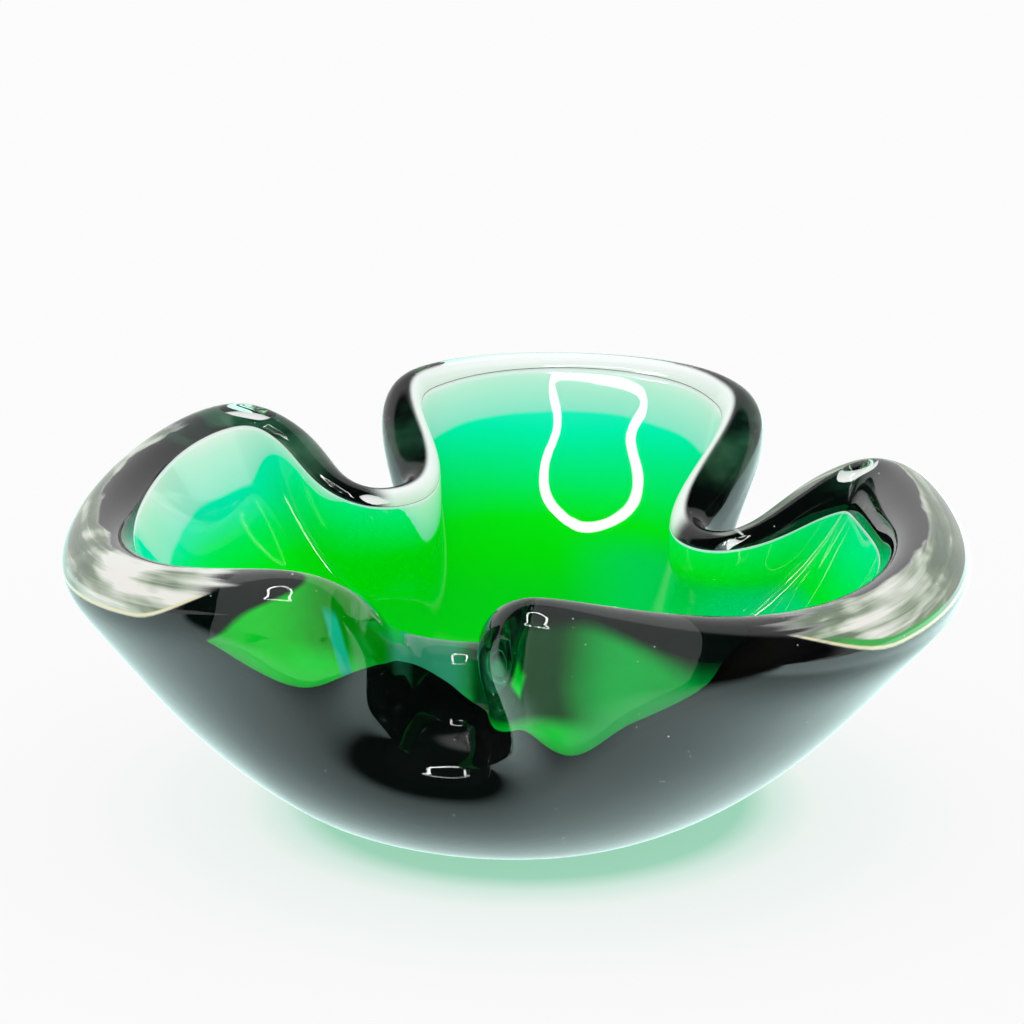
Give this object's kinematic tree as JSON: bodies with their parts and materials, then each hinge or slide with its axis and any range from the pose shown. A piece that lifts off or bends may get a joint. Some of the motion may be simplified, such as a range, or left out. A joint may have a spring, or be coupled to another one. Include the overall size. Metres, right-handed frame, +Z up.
{
  "type": "art glass bowl",
  "caption": "Heavy cased glass bowl with a thick rolled lip folded into lobes; clear outer glass over a dark smoke layer and a green lining. Holds small things or stands for display.",
  "frame": {"origin": "middle of the flat base disc, in the plane the bowl rests on", "axes": "+Z up out of the bowl's mouth, -Y towards the wide front fold, +X towards the right lobe"},
  "size_m": [0.1784, 0.1772, 0.0736],
  "materials": {
    "clear_casing": "fire-polished colourless glass",
    "smoke_layer": "very dark greenish smoke glass",
    "green_lining": "emerald green glass lining, paler near the lip"
  },
  "bodies": {
    "root": {"clear_casing": "clear_casing", "smoke_layer": "smoke_layer", "green_lining": "green_lining"}
  },
  "joints": []
}
